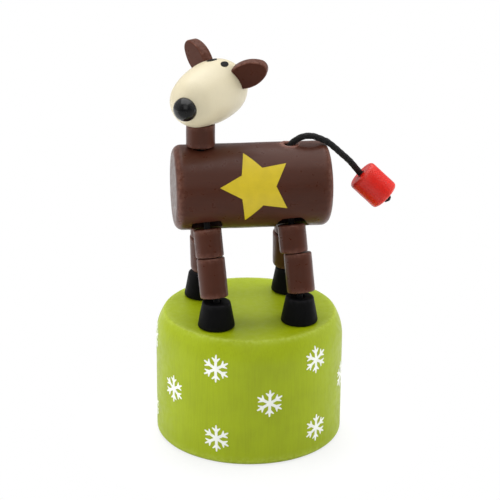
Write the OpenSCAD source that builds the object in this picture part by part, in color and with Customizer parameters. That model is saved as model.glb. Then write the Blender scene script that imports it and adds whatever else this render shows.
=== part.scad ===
// Push puppet: a beaded animal on a hollow drum, strung on cords that a spring keeps tight.
// The origin is the middle of the drum's foot, +Z is up and the animal looks along -X.
// Left and right are the animal's own sides, so left is -Y.

/* [Base] */
// diameter of the drum
base_d = 50; // [48:0.5:60]
// height of the drum, foot to deck
base_h = 34.6; // [30:0.2:44]
// height of the rounded shoulder below the deck
shoulder_rise = 7; // [4:0.5:9]
// how far the shoulder draws in at the deck
shoulder_in = 2.2; // [1:0.1:2.6]
// rounding of the foot's outer edge
foot_round = 1.5; // [0.5:0.1:2.5]
// thickness of the wall around the hollow
base_wall = 4.5; // [4:0.1:5]
// thickness of the deck over the hollow
deck_t = 7; // [5:0.5:9]

/* [Button and spring] */
// thickness of the push button
button_t = 5; // [4:0.1:6]
// depth of the button's face inside the foot
button_recess = 1.6; // [1:0.1:2.5]
// radial gap between the button and the hollow
button_clear = 0.3; // [0.2:0.05:0.6]
// how far the button can be pushed up
button_travel = 6.5; // [4:0.1:7]
// height of the button's spring post
post_h = 3; // [2:0.1:5]
// mean diameter of the spring's coil
spring_d = 14; // [10:0.5:18]
// thickness of the spring wire
spring_wire = 0.9; // [0.6:0.1:1.1]
// number of turns of the spring
spring_turns = 6; // [4:1:7]

/* [Stance] */
// diameter of the drum that the hoof places below are given for
stance_drum_d = 50; // [48:0.5:52]
// distance between the front and the hind hooves
leg_span = 22.1; // [20:0.1:25]
// distance between the left and the right hooves
leg_gauge = 22.6; // [20:0.1:24]
// distance between the left and the right leg tops
hip_gauge = 13.7; // [12:0.1:15]
// shift of the four hooves toward the tail
stance_x = 0.1; // [-1:0.1:1]
// further shift of the right hind leg toward the tail
hind_right_shift = 2; // [0:0.1:2.4]
// forward lean of the legs, in degrees
leg_lean = 3.5; // [0:0.5:8]

/* [Legs] */
// diameter of a hoof at the deck
hoof_d = 9.7; // [8:0.1:11]
// diameter of a hoof at its top
hoof_top_d = 7.5; // [6:0.1:9]
// height of a hoof
hoof_h = 7; // [5:0.1:9]
// diameter of the leg beads
leg_d = 7.3; // [6:0.1:8.5]
// length of the lower leg bead
shin_l = 10.4; // [8:0.1:13]
// length of the upper leg bead
thigh_l = 7.4; // [5:0.1:9]
// rounding of the bead edges
bead_round = 0.5; // [0.2:0.1:1]
// usual step of the loose leg beads off the line of their leg
bead_slip = 0.5; // [0:0.1:0.6]
// gap between pieces that only rest on each other
rest_gap = 0.2; // [0.1:0.05:0.4]

/* [Barrel] */
// diameter of the barrel
barrel_d = 22.2; // [20:0.1:26]
// length of the barrel
barrel_l = 40.6; // [36:0.2:50]
// rounding of the barrel's end edges
barrel_round = 2.2; // [1:0.1:2.5]
// turn of the barrel's front end toward the right, in degrees
barrel_yaw = 3; // [0:0.5:4]
// distance from the barrel's front end to the neck
neck_in = 7.1; // [6:0.1:9]
// distance from the barrel's rear end to the tail hole
tail_in = 10.3; // [9.2:0.1:12]
// diameter of the hole under the neck
well_d = 5.2; // [4.8:0.1:6]
// how far the leg tops reach into their sockets
hip_sink = 1.2; // [0.6:0.1:1.4]
// depth of a socket above the leg's top
socket_l = 1.8; // [1.6:0.1:4]
// radial gap between a leg's top and its socket
socket_clear = 0.35; // [0.3:0.05:0.5]
// spread of a socket's mouth, which gives the folding leg room, in degrees
socket_flare = 45; // [44:1:50]

/* [Neck and head] */
// diameter of the neck bead
neck_d = 7.5; // [6.5:0.1:9]
// length of the neck bead
neck_l = 6; // [5:0.1:9]
// turn of the head toward the left, in degrees
head_turn = 49; // [0:1:90]
// dip of the nose, in degrees
head_pitch = 5.5; // [0:0.5:12]
// tilt of the head toward its left ear, in degrees
head_roll = 8; // [0:0.5:12]
// radius of the muzzle end of the head
muzzle_r = 6.7; // [6:0.1:9]
// radius of the back end of the head
nape_r = 7.7; // [6.5:0.1:9.5]
// distance between the centres of the two round ends
head_span = 10.8; // [9:0.1:13]
// radius of the long curve between the round ends
cheek_r = 32; // [25:1:60]
// distance from the neck's axis back to the middle of the head
head_back = 3.2; // [1:0.1:4]
// depth of the flat seat for the neck
seat_depth = 1.1; // [0.6:0.1:1.4]
// gap around the neck in its seat
seat_clear = 0.4; // [0.3:0.05:0.6]
// diameter of the nose ball
nose_d = 6.2; // [5:0.1:8]
// distance from the middle of the head to the centre of the nose
nose_out = 11.4; // [10.8:0.1:12.2]
// step of the nose toward the head's left
nose_side = 0.6; // [0:0.1:0.8]

/* [Ears] */
// greatest width of an ear
ear_w = 6.8; // [5:0.1:8]
// length of an ear with the part that is let into the head
ear_l = 9.8; // [7.5:0.1:12]
// step of the right ear toward the middle of the head
ear_right_in = 0.9; // [0:0.1:1]
// step of the right ear upward
ear_right_up = 0.5; // [0:0.1:0.6]
// radius of an ear's tip
ear_tip_r = 2.3; // [1.8:0.1:2.4]
// thickness of an ear
ear_t = 3; // [2.4:0.1:4]
// rise of an ear's tip, in degrees
ear_rise = 30; // [15:1:40]
// backward sweep of an ear, in degrees
ear_sweep = 22; // [5:1:35]
// play of the glued pieces in their pockets
glue_gap = 0.05; // [0.02:0.01:0.1]

/* [Tail] */
// diameter of the tail cord
tail_cord_d = 1.7; // [1.4:0.1:1.8]
// diameter of the tail hole
tail_hole_d = 3; // [2.8:0.1:4]
// diameter of the tail hole's countersink
tail_sink_d = 5.4; // [5:0.1:6]
// lean of the tail hole toward the left, in degrees
tail_roll = 3; // [0:1:12]
// diameter of the tail bead
tail_bead_d = 8.5; // [6:0.1:10]
// length of the tail bead
tail_bead_l = 9.1; // [6:0.1:12]
// rounding of the tail bead's edges
tail_bead_round = 0.9; // [0.4:0.1:1.5]
// diameter of the knot below the tail bead
tail_knot_d = 3.2; // [2.6:0.1:4]

/* [Cords] */
// diameter of the leg cords
cord_d = 1.6; // [1.2:0.1:1.8]
// diameter of the cord holes in the base, hooves and beads
cord_bore = 2.4; // [2.2:0.1:2.8]
// diameter of the knots under the button
knot_d = 3.2; // [2.6:0.1:3.6]
// length of the knots under the button
knot_l = 2; // [1.4:0.1:2.6]
// diameter of the peg that wedges the cords in the head
peg_d = 1.1; // [0.8:0.1:1.2]

/* [Hidden] */

$fn = 96;
FRONT = -1;
HIND = 1;
LEFT = -1;
RIGHT = 1;
// steps of a rounded edge and of a round end
edge_steps = 4;
dome_steps = 20;
// cutting tools reach this far past the surface
past = 1;

base_r = base_d / 2;
hollow_r = base_r - base_wall;
hollow_h = base_h - deck_t;
shoulder_r = (shoulder_in * shoulder_in + shoulder_rise * shoulder_rise) / (2 * shoulder_in);

button_r = hollow_r - button_clear;
button_top = button_recess + button_t;
knot_roof = button_recess + knot_l + 0.3;
post_clear = 0.4;
post_d = spring_d - spring_wire - 2 * post_clear;
spring_end_gap = 0.1;
spring_low = button_top + spring_end_gap + spring_wire / 2;
spring_high = hollow_h - spring_end_gap - spring_wire / 2;
spring_pitch = (spring_high - spring_low) / spring_turns;
spring_squeezed = (spring_high - spring_low - button_travel) / spring_turns;
spring_steps = 24;
spring_sides = 6;

// the hooves keep their places on a wider or a narrower deck
stance = base_d / stance_drum_d;
leg_r = leg_d / 2;
leg_l = shin_l + rest_gap + thigh_l;
leg_splay = asin((stance * leg_gauge - hip_gauge) / 2 / leg_l);
hoof_top = base_h + hoof_h;
// the cord of the button stops this far below the hoof's top, which leaves room for its rise
run_cord_low = 3;

function leg_axis(side) =
  [-cos(leg_splay) * sin(leg_lean), -side * sin(leg_splay), cos(leg_splay) * cos(leg_lean)];
function lean_dir() = [-cos(leg_lean), 0, -sin(leg_lean)];
// a leaning bead's rim dips this far below the middle of its end
rim_dip = leg_r * sqrt(1 - pow(leg_axis(LEFT).z, 2));

// each loose bead sits a little off its leg's line, counted toward the head
shin_slip = bead_slip * [[1, -1], [-0.8, 1.8]];
thigh_slip = bead_slip * [[1.2, -1.4], [1, 1]];
function slip(steps, end, side) = steps[end == FRONT ? 0 : 1][side == LEFT ? 0 : 1] * lean_dir();

function hoof_at(end, side) =
  [stance * (stance_x + end * leg_span / 2 + (end == HIND && side == RIGHT ? hind_right_shift : 0)),
    stance * side * leg_gauge / 2, base_h];
function leg_low(end, side) =
  hoof_at(end, side) + [0, 0, hoof_h + rest_gap + rim_dip];
function ankle(end, side) =
  leg_low(end, side) + slip(shin_slip, end, side);
function knee(end, side) =
  leg_low(end, side) + (shin_l + rest_gap) * leg_axis(side) + slip(thigh_slip, end, side);
function hip(end, side) =
  knee(end, side) + thigh_l * leg_axis(side);

barrel_r = barrel_d / 2;
hip_z = leg_low(FRONT, LEFT).z + leg_l * leg_axis(LEFT).z;
// the barrel lies on the slanted leg tops, let down by the depth of the sockets
barrel_z = hip_z + leg_r * sin(leg_lean)
  + (barrel_r + rest_gap - hip_gauge / 2 * sin(leg_splay)) / cos(leg_splay) - hip_sink;
barrel_top = barrel_z + barrel_r;
neck_x = neck_in - barrel_l / 2;
tail_x = barrel_l / 2 - tail_in;
// the two cords in the neck and head lie this far from the middle
cord_off = cord_d / 2 + 0.3;
cord_pair_bore = 2 * cord_off + cord_d + 0.4;
front_meet = [neck_x, 2, barrel_z + 0.4 * barrel_r];
hind_meet = [tail_x, 1.7, barrel_z + 0.4 * barrel_r];
meet_past = 2.5;

neck_low = barrel_top + rest_gap;
neck_top = neck_low + neck_l;
seat_z = neck_top + rest_gap;
// centre of the long curve, which meets both round ends without an edge
cheek_y = (pow(cheek_r - nape_r, 2) - pow(cheek_r - muzzle_r, 2)) / (2 * head_span);
cheek_x = -sqrt(pow(cheek_r - nape_r, 2) - pow(head_span / 2 + cheek_y, 2));
seat_r = cheek_x + sqrt(pow(cheek_r, 2) - pow(head_back - cheek_y, 2));
head_rise = seat_r + head_back * sin(head_pitch) - seat_depth;
head_bore_l = 8;
// the ears stand in pockets on the round back end of the head
ear_root = [0.3, 4.3, 3.7] * nape_r / 7.7;
// an ear is widest this far from its root, and its sides meet the tip without an edge
ear_wide = 0.43 * ear_l;
ear_reach = ear_l - ear_tip_r;
ear_side_r = (pow(ear_w / 2, 2) + pow(ear_reach - ear_wide, 2) - pow(ear_tip_r, 2))
  / (ear_w - 2 * ear_tip_r);

// place in the puppet of a point given in the barrel's own axes
function from_barrel(p) =
  [p.x * cos(barrel_yaw) + p.y * sin(barrel_yaw), p.y * cos(barrel_yaw) - p.x * sin(barrel_yaw),
    p.z + barrel_z];
mouth = from_barrel([tail_x, -barrel_r * sin(tail_roll), barrel_r * cos(tail_roll)]);
sink_depth = 0.5;
tail_hole_l = barrel_r * 0.62;
// tail cord, from inside its hole over the barrel's end to the bead, counted from the hole's mouth
tail_route = [
  [0, 0.2, -3.8], [0, 0.1, -2], [0.1, 0, -0.9], [0.5, -0.3, 0.1], [1.3, -0.6, 0.9], [2.3, -0.9, 1.6],
  [3.4, -1.2, 2.1], [4.8, -1.5, 2.3], [6.2, -1.6, 2.1], [7.7, -1.6, 1.5], [8.7, -1.5, 1],
  [9.8, -1.3, 0.4], [11.7, -0.9, -1.2], [13.5, -0.3, -2.9], [16.6, 0.7, -5.9], [19.8, 1.7, -9.7]
];
bead_drop = 42.5;
bead_yaw = -13.5;
bead_dir = [cos(bead_drop) * cos(bead_yaw), cos(bead_drop) * sin(bead_yaw), -sin(bead_drop)];
bead_at = tail_route[len(tail_route) - 1];
bead_end = bead_at + tail_bead_l * bead_dir;
bead_clear = 0.08;
tail_knot_l = 1.6;

function unit(v) = v / norm(v);

// points of an arc about [x, y], from one angle to another
function arc(x, y, r, from, to, steps) =
  [for (i = [0:steps]) let (a = from + (to - from) * i / steps) [x + r * cos(a), y + r * sin(a)]];

// direction of a route at one of its points
function along(p, i) =
  unit(p[min(i + 1, len(p) - 1)] - p[max(i - 1, 0)]);

// eight-sided tube along a route, with the same side kept toward ref
module tube(p, d, ref) {
  sides = 8;
  rings = len(p);
  points = [
    for (i = [0:rings - 1])
      let (t = along(p, i), u = unit(cross(ref, t)), v = cross(t, u))
        for (k = [0:sides - 1])
          p[i] + d / 2 * (cos(360 * k / sides) * u + sin(360 * k / sides) * v)
  ];
  walls = [
    for (i = [0:rings - 2])
      for (k = [0:sides - 1])
        let (a = i * sides + k, b = i * sides + (k + 1) % sides)
          for (f = [[a, b + sides, b], [a, a + sides, b + sides]]) f
  ];
  low = [[for (k = [0:sides - 1]) k]];
  high = [[for (k = [0:sides - 1]) rings * sides - 1 - k]];
  polyhedron(points, concat(walls, low, high));
}

// turned bead on its end, with rounded edges and a bore
module turned(d, l, edge, bore) {
  r = d / 2;
  rotate_extrude()
    polygon(concat(
      [[bore / 2, 0]],
      arc(r - edge, edge, edge, -90, 0, edge_steps),
      arc(r - edge, l - edge, edge, 0, 90, edge_steps),
      [[bore / 2, l]]
    ));
}

// turns what stands along Z into the direction v
module toward(v) {
  rotate([0, acos(v.z / norm(v)), atan2(v.y, v.x)])
    children();
}

// round rod or hole from a to b
module rod(a, b, d) {
  translate(a)
    toward(b - a)
      cylinder(h = norm(b - a), d = d);
}

module lean(side) {
  rotate([side * leg_splay, -leg_lean, 0])
    children();
}

module base() {
  color([0.59, 0.70, 0.11])
    difference() {
      rotate_extrude()
        polygon(concat(
          [[hollow_r, 0]],
          arc(base_r - foot_round, foot_round, foot_round, -90, 0, edge_steps),
          arc(base_r - shoulder_r, base_h - shoulder_rise, shoulder_r,
            0, asin(shoulder_rise / shoulder_r), 2 * edge_steps),
          [[0, base_h], [0, hollow_h], [hollow_r, hollow_h]]
        ));
      for (end = [FRONT, HIND], side = [LEFT, RIGHT])
        translate(hoof_at(end, side) - [0, 0, deck_t + past])
          cylinder(h = deck_t + 2 * past, d = cord_bore);
    }
}

module button() {
  knot_pocket = knot_d + 0.8;
  cord_hole = cord_d + 0.4;
  edge = 0.6;
  color([0.78, 0.62, 0.40])
    difference() {
      union() {
        translate([0, 0, button_recess])
          rotate_extrude()
            polygon([
              [0, 0], [button_r - edge, 0], [button_r, edge], [button_r, button_t - edge],
              [button_r - edge, button_t], [0, button_t]
            ]);
        translate([0, 0, button_top - past])
          cylinder(h = post_h + past, d = post_d);
      }
      for (end = [FRONT, HIND], side = [LEFT, RIGHT]) {
        translate([hoof_at(end, side).x, hoof_at(end, side).y, button_recess - past])
          cylinder(h = knot_roof - button_recess + past, d = knot_pocket);
        translate([hoof_at(end, side).x, hoof_at(end, side).y, button_recess])
          cylinder(h = button_t + past, d = cord_hole);
      }
    }
}

module cord_knots() {
  edge = 0.5;
  color([0.08, 0.08, 0.08])
    for (end = [FRONT, HIND], side = [LEFT, RIGHT])
      translate([hoof_at(end, side).x, hoof_at(end, side).y, knot_roof - knot_l])
        turned(knot_d, knot_l, edge, 0);
}

module spring() {
  echo(spring_gap = spring_pitch - spring_wire, spring_gap_pressed = spring_squeezed - spring_wire);
  n = spring_turns * spring_steps;
  points = [
    for (i = [0:n])
      let (a = 360 * i / spring_steps, z = spring_low + (spring_high - spring_low) * i / n)
        for (k = [0:spring_sides - 1])
          let (
            b = 360 * k / spring_sides,
            r = spring_d / 2 + spring_wire / 2 * cos(b)
          )
            [r * cos(a), r * sin(a), z + spring_wire / 2 * sin(b)]
  ];
  walls = [
    for (i = [0:n - 1])
      for (k = [0:spring_sides - 1])
        let (a = i * spring_sides + k, b = i * spring_sides + (k + 1) % spring_sides)
          for (f = [[a, b, b + spring_sides], [a, b + spring_sides, a + spring_sides]]) f
  ];
  low = [[for (k = [0:spring_sides - 1]) spring_sides - 1 - k]];
  high = [[for (k = [0:spring_sides - 1]) n * spring_sides + k]];
  color([0.60, 0.61, 0.62])
    polyhedron(points, concat(walls, low, high));
}

module hoof(end, side) {
  color([0.07, 0.07, 0.08])
    translate(hoof_at(end, side))
      rotate_extrude()
        polygon(concat(
          [[cord_bore / 2, 0], [hoof_d / 2, 0]],
          arc(hoof_top_d / 2 - bead_round, hoof_h - bead_round, bead_round, 0, 90, edge_steps),
          [[cord_bore / 2, hoof_h]]
        ));
}

module shin(end, side) {
  color([0.30, 0.18, 0.15])
    translate(ankle(end, side))
      lean(side)
        turned(leg_d, shin_l, bead_round, cord_bore);
}

module thigh(end, side) {
  color([0.30, 0.18, 0.15])
    translate(knee(end, side))
      lean(side)
        turned(leg_d, thigh_l, bead_round, cord_bore);
}

module run_cord(end, side) {
  foot = hoof_at(end, side);
  color([0.08, 0.08, 0.08])
    translate([foot.x, foot.y, knot_roof])
      cylinder(h = hoof_top - run_cord_low - knot_roof, d = cord_d);
}

module shin_cord(end, side) {
  color([0.08, 0.08, 0.08])
    translate(ankle(end, side))
      lean(side)
        cylinder(h = shin_l, d = cord_d);
}

module thigh_cord(end, side) {
  color([0.08, 0.08, 0.08])
    translate(knee(end, side))
      lean(side)
        cylinder(h = thigh_l, d = cord_d);
}

module leg_socket(end, side) {
  r = leg_r + socket_clear;
  mouth_l = thigh_l / 2;
  translate(hip(end, side))
    lean(side)
      translate([0, 0, -mouth_l]) {
        cylinder(h = mouth_l + socket_l, r = r);
        cylinder(h = mouth_l, r1 = r + mouth_l * tan(socket_flare), r2 = r);
      }
}

// start of a cord in the barrel, just over the leg's top
function cord_start(end, side) = hip(end, side) + rest_gap * leg_axis(side);
function meet_at(p, side) = [p.x, side * p.y, p.z];

module leg_bore(end, side, meet) {
  a = cord_start(end, side);
  b = meet_at(meet, side);
  v = unit(b - a);
  rod(a - 2 * past * v, b + meet_past * v, cord_bore);
}

// from the barrel's own axes, its length along X, to the puppet
module on_barrel() {
  translate([0, 0, barrel_z])
    rotate([0, 0, -barrel_yaw])
      children();
}

module barrel() {
  r = barrel_r;
  edge = barrel_round;
  color([0.30, 0.18, 0.15])
    difference() {
      on_barrel()
        translate([-barrel_l / 2, 0, 0])
          rotate([0, 90, 0])
            rotate_extrude()
              polygon(concat(
                [[0, 0]],
                arc(r - edge, edge, edge, -90, 0, 2 * edge_steps),
                arc(r - edge, barrel_l - edge, edge, 0, 90, 2 * edge_steps),
                [[0, barrel_l]]
              ));
      for (side = [LEFT, RIGHT]) {
        leg_bore(FRONT, side, front_meet);
        leg_bore(HIND, side, hind_meet);
        leg_socket(FRONT, side);
        leg_socket(HIND, side);
      }
      translate([neck_x, 0, front_meet.z])
        cylinder(h = barrel_top - front_meet.z + past, d = well_d);
      on_barrel()
        translate([tail_x, 0, 0])
          rotate([tail_roll, 0, 0]) {
            translate([0, 0, r - tail_hole_l])
              cylinder(h = tail_hole_l + past, d = tail_hole_d);
            translate([0, 0, r - sink_depth])
              cylinder(h = sink_depth + past, d1 = tail_hole_d,
                d2 = tail_hole_d + (tail_sink_d - tail_hole_d) * (sink_depth + past) / sink_depth);
          }
    }
}

module body_cord(side) {
  a = cord_start(FRONT, side);
  b = meet_at(front_meet, side);
  c = [neck_x, side * cord_off, b.z + 0.75 * (barrel_top - b.z)];
  d = [neck_x, side * cord_off, barrel_top];
  color([0.08, 0.08, 0.08])
    tube([a, b, c, d], cord_d, [1, 0, 0]);
}

module body_cord_hind() {
  a = cord_start(HIND, LEFT);
  b = meet_at(hind_meet, LEFT);
  c = cord_start(HIND, RIGHT);
  d = meet_at(hind_meet, RIGHT);
  loop = [
    for (q = [150:-30:30])
      [tail_x, hind_meet.y * cos(q), hind_meet.z + hind_meet.y * sin(q)]
  ];
  color([0.08, 0.08, 0.08])
    tube(concat([a, b], loop, [d, c]), cord_d, [1, 0, 0]);
}

module neck() {
  color([0.30, 0.18, 0.15])
    translate([neck_x, 0, neck_low])
      turned(neck_d, neck_l, bead_round, cord_pair_bore);
}

module neck_cords() {
  color([0.08, 0.08, 0.08])
    for (side = [LEFT, RIGHT])
      translate([neck_x, side * cord_off, neck_low])
        cylinder(h = neck_l, d = cord_d);
}

// from the head's own axes, nose along X, to the puppet
module on_head() {
  translate([neck_x, 0, seat_z])
    rotate([0, 0, 180 + head_turn])
      translate([-head_back, 0, head_rise])
        rotate([-head_roll, head_pitch, 0])
          children();
}

module nose_ball(d) {
  translate([nose_out, nose_side, 0])
    sphere(d = d);
}

// flat shape of an ear along X, from its root to its round tip
module ear_outline(grow) {
  side_r = ear_side_r + grow;
  off = ear_side_r - ear_w / 2;
  root = asin(ear_wide / side_r);
  meet = atan2(off, ear_reach - ear_wide);
  polygon(concat(
    arc(ear_wide, off, side_r, -90 - root, -meet, dome_steps / 2),
    arc(ear_reach, 0, ear_tip_r + grow, -meet, meet, dome_steps),
    arc(ear_wide, -off, side_r, meet, 90 + root, dome_steps / 2)
  ));
}

// ear slab in the head's axes; grow widens it into its pocket
module ear_slab(side, grow) {
  t = ear_t + 2 * grow;
  step = side == LEFT ? [0, 0, 0] : [0, -ear_right_in, ear_right_up];
  mirror([0, side == LEFT ? 0 : 1, 0])
    translate([-head_span / 2, 0, 0] + ear_root + step)
      rotate([ear_rise, 0, ear_sweep])
        translate([-t / 2, 0, 0])
          rotate([90, 0, 90])
            linear_extrude(height = t)
              ear_outline(grow);
}

module head() {
  from = atan2(-head_span / 2 - cheek_y, -cheek_x);
  to = atan2(head_span / 2 - cheek_y, -cheek_x);
  color([0.91, 0.89, 0.82])
    difference() {
      on_head()
        difference() {
          rotate([0, 90, 0])
            rotate_extrude()
              polygon(concat(
                arc(0, -head_span / 2, nape_r, -90, from, dome_steps),
                arc(cheek_x, cheek_y, cheek_r, from, to, edge_steps),
                arc(0, head_span / 2, muzzle_r, to, 90, dome_steps)
              ));
          nose_ball(nose_d + 2 * glue_gap);
          ear_slab(LEFT, glue_gap);
          ear_slab(RIGHT, glue_gap);
        }
      translate([neck_x, 0, seat_z - 2 * seat_depth - past])
        cylinder(h = 2 * seat_depth + past, d = neck_d + 2 * seat_clear);
      translate([neck_x, 0, seat_z - past])
        cylinder(h = head_bore_l + past, d = cord_pair_bore);
    }
}

module head_cords() {
  color([0.08, 0.08, 0.08])
    for (side = [LEFT, RIGHT])
      translate([neck_x, side * cord_off, seat_z])
        cylinder(h = head_bore_l - rest_gap, d = cord_d);
}

module head_peg() {
  reach = cord_pair_bore / 2 - peg_d / 2 - 0.1;
  color([0.78, 0.62, 0.40])
    translate([neck_x + reach, 0, seat_z])
      cylinder(h = head_bore_l - rest_gap, d = peg_d);
}

module nose() {
  color([0.07, 0.07, 0.08])
    on_head()
      nose_ball(nose_d);
}

module ear(side) {
  color([0.34, 0.21, 0.17])
    on_head()
      ear_slab(side, 0);
}

module tail_cord() {
  color([0.06, 0.06, 0.06])
    translate(mouth)
      tube(concat(tail_route, [(bead_at + bead_end) / 2, bead_end]), tail_cord_d, [0, 1, 0]);
}

module tail_bead() {
  color([0.78, 0.17, 0.15])
    translate(mouth + bead_at)
      toward(bead_dir)
        turned(tail_bead_d, tail_bead_l, tail_bead_round, tail_cord_d + 2 * bead_clear);
}

module tail_knot() {
  edge = 0.5;
  color([0.06, 0.06, 0.06])
    translate(mouth + bead_end)
      toward(bead_dir)
        turned(tail_knot_d, tail_knot_l, edge, 0);
}

base();
button();
cord_knots();
spring();
hoof(FRONT, LEFT);  // hoof_front_left
hoof(FRONT, RIGHT);  // hoof_front_right
hoof(HIND, LEFT);  // hoof_hind_left
hoof(HIND, RIGHT);  // hoof_hind_right
shin(FRONT, LEFT);  // shin_front_left
shin(FRONT, RIGHT);  // shin_front_right
shin(HIND, LEFT);  // shin_hind_left
shin(HIND, RIGHT);  // shin_hind_right
thigh(FRONT, LEFT);  // thigh_front_left
thigh(FRONT, RIGHT);  // thigh_front_right
thigh(HIND, LEFT);  // thigh_hind_left
thigh(HIND, RIGHT);  // thigh_hind_right
run_cord(FRONT, LEFT);  // run_cord_front_left
run_cord(FRONT, RIGHT);  // run_cord_front_right
run_cord(HIND, LEFT);  // run_cord_hind_left
run_cord(HIND, RIGHT);  // run_cord_hind_right
shin_cord(FRONT, LEFT);  // shin_cord_front_left
shin_cord(FRONT, RIGHT);  // shin_cord_front_right
shin_cord(HIND, LEFT);  // shin_cord_hind_left
shin_cord(HIND, RIGHT);  // shin_cord_hind_right
thigh_cord(FRONT, LEFT);  // thigh_cord_front_left
thigh_cord(FRONT, RIGHT);  // thigh_cord_front_right
thigh_cord(HIND, LEFT);  // thigh_cord_hind_left
thigh_cord(HIND, RIGHT);  // thigh_cord_hind_right
barrel();
body_cord(LEFT);  // body_cord_left
body_cord(RIGHT);  // body_cord_right
body_cord_hind();
neck();
neck_cords();
head();
head_cords();
head_peg();
nose();
ear(LEFT);  // ear_left
ear(RIGHT);  // ear_right
tail_cord();
tail_bead();
tail_knot();
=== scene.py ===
from math import asin, atan2, ceil, cos, degrees, dist, exp, hypot, pi, radians, sin, sqrt, tan, tanh

import bmesh
import bpy
from mathutils import Matrix, Quaternion, Vector, geometry, noise


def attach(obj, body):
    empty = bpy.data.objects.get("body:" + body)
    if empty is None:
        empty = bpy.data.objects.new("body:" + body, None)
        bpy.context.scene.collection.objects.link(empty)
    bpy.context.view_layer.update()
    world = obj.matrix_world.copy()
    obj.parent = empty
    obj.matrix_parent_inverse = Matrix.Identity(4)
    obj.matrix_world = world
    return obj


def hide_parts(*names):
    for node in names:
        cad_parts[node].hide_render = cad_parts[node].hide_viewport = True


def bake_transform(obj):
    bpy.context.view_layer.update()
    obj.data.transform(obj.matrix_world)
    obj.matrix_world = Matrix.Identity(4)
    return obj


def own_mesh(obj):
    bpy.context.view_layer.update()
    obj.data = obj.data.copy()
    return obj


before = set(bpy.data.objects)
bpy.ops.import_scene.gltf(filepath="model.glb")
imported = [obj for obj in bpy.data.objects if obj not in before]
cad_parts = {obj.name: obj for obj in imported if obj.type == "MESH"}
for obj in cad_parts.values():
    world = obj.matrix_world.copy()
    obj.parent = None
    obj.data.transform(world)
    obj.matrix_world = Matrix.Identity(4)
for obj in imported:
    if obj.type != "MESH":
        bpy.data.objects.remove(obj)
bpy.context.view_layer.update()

# Sizes in millimetres and degrees, the same as in the part's source.
MM = 0.001
BASE_R, BASE_H, HOLLOW_R, HOLLOW_H = 25.0, 34.6, 20.5, 27.6
SHOULDER_IN, SHOULDER_RISE, FOOT_ROUND = 2.2, 7.0, 1.5
SHOULDER_R = (SHOULDER_IN ** 2 + SHOULDER_RISE ** 2) / (2 * SHOULDER_IN)
BUTTON_TOP, BUTTON_TRAVEL, KNOT_Z, KNOT_ROOF = 6.6, 6.5, 2.9, 3.9
SPRING_R, WIRE_R, SPRING_TURNS, SPRING_GAP = 7.0, 0.45, 6, 0.1
HOOF_H, HOOF_R, HOOF_TOP_R = 7.0, 4.85, 3.75
LEG_R, SHIN_L, THIGH_L, BEAD_ROUND, BORE_R = 3.65, 10.4, 7.4, 0.5, 1.2
LEAN, SPLAY, SOCKET_R, SOCKET_L = 3.5, 14.3132, 4.0, 1.8
BARREL_R, BARREL_L, BARREL_Z, BARREL_ROUND, BARREL_YAW = 11.1, 40.6, 69.0737, 2.2, 3.0
NECK_X, NECK_LOW, NECK_L, NECK_R, PAIR_BORE_R = -13.2, 80.3737, 6.0, 3.75, 2.1
NECK_TOP, SEAT_Z, SEAT_R, NECK_WELL_R = 86.3737, 86.5737, 4.15, 2.6
MUZZLE_R, NAPE_R, HEAD_SPAN, CHEEK_R = 6.7, 7.7, 10.8, 32.0
HEAD_TURN, HEAD_PITCH, HEAD_ROLL, HEAD_BACK, HEAD_RISE = 49.0, 5.5, 8.0, 3.2, 6.63018
NOSE_R, NOSE_OUT, NOSE_SIDE = 3.1, 11.4, 0.6
EAR_W, EAR_L, EAR_T, EAR_TIP_R, EAR_RISE, EAR_SWEEP = 6.8, 9.8, 3.0, 2.3, 30.0, 22.0
EAR_ROOTS = {"left": (0.3, 4.3, 3.7), "right": (0.3, 3.4, 4.2)}
TAIL_X, TAIL_ROLL, TAIL_HOLE_R, TAIL_SINK_R, TAIL_HOLE_SHARE = 10.0, 3.0, 1.5, 2.7, 0.62
CORD_R, CORD_OFF, TAIL_CORD_R = 0.8, 1.1, 0.85
# Where the cords of two legs meet in the barrel: to the side, and up as a share of its radius.
FRONT_MEET_Y, HIND_MEET_Y, MEET_RISE = 2.0, 1.7, 0.4
# Each leg's hoof, and the middles of the ends of its two beads: ankle, knee and hip.
LEGS = {
    "front_left": ((-10.95, -11.3), (-11.4491, -11.3, 42.6973),
                   (-12.1759, -8.67944, 52.943), (-12.6136, -6.85, 60.0999)),
    "front_right": ((-10.95, 11.3), (-10.4509, 11.3, 42.7584),
                    (-10.8783, 8.67944, 53.0224), (-11.3161, 6.85, 60.1793)),
    "hind_left": ((11.15, -11.3), (11.5493, -11.3, 42.7523),
                  (10.0239, -8.67944, 52.9491), (9.58617, -6.85, 60.106)),
    "hind_right": ((13.15, 11.3), (12.2517, 11.3, 42.6729),
                   (12.0239, 8.67944, 52.9491), (11.5862, 6.85, 60.106)),
}
# The tail cord's route, from the mouth of its hole.
MOUTH = Vector((9.95589, -1.10349, 80.1585))
TAIL_ROUTE = [
    (0, 0.2, -3.8), (0, 0.1, -2), (0.1, 0, -0.9), (0.5, -0.3, 0.1), (1.3, -0.6, 0.9), (2.3, -0.9, 1.6),
    (3.4, -1.2, 2.1), (4.8, -1.5, 2.3), (6.2, -1.6, 2.1), (7.7, -1.6, 1.5), (8.7, -1.5, 1),
    (9.8, -1.3, 0.4), (11.7, -0.9, -1.2), (13.5, -0.3, -2.9), (16.6, 0.7, -5.9), (19.8, 1.7, -9.7),
]
BEAD_DROP, BEAD_YAW, BEAD_L, BEAD_R, TAIL_BEAD_ROUND = 42.5, -13.5, 9.1, 4.25, 0.9

# Sizes that only the finished pieces have.
FOOT_BEVEL, BORE_BEVEL, HOOF_ROUND, HOOF_TOP_ROUND, TAIL_BORE_R = 0.3, 0.15, 0.7, 0.5, 1.13
# Small turned pieces are out of true by this much, in waves of this size.
WOBBLE, WOBBLE_SIZE = 0.03, 3
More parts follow.
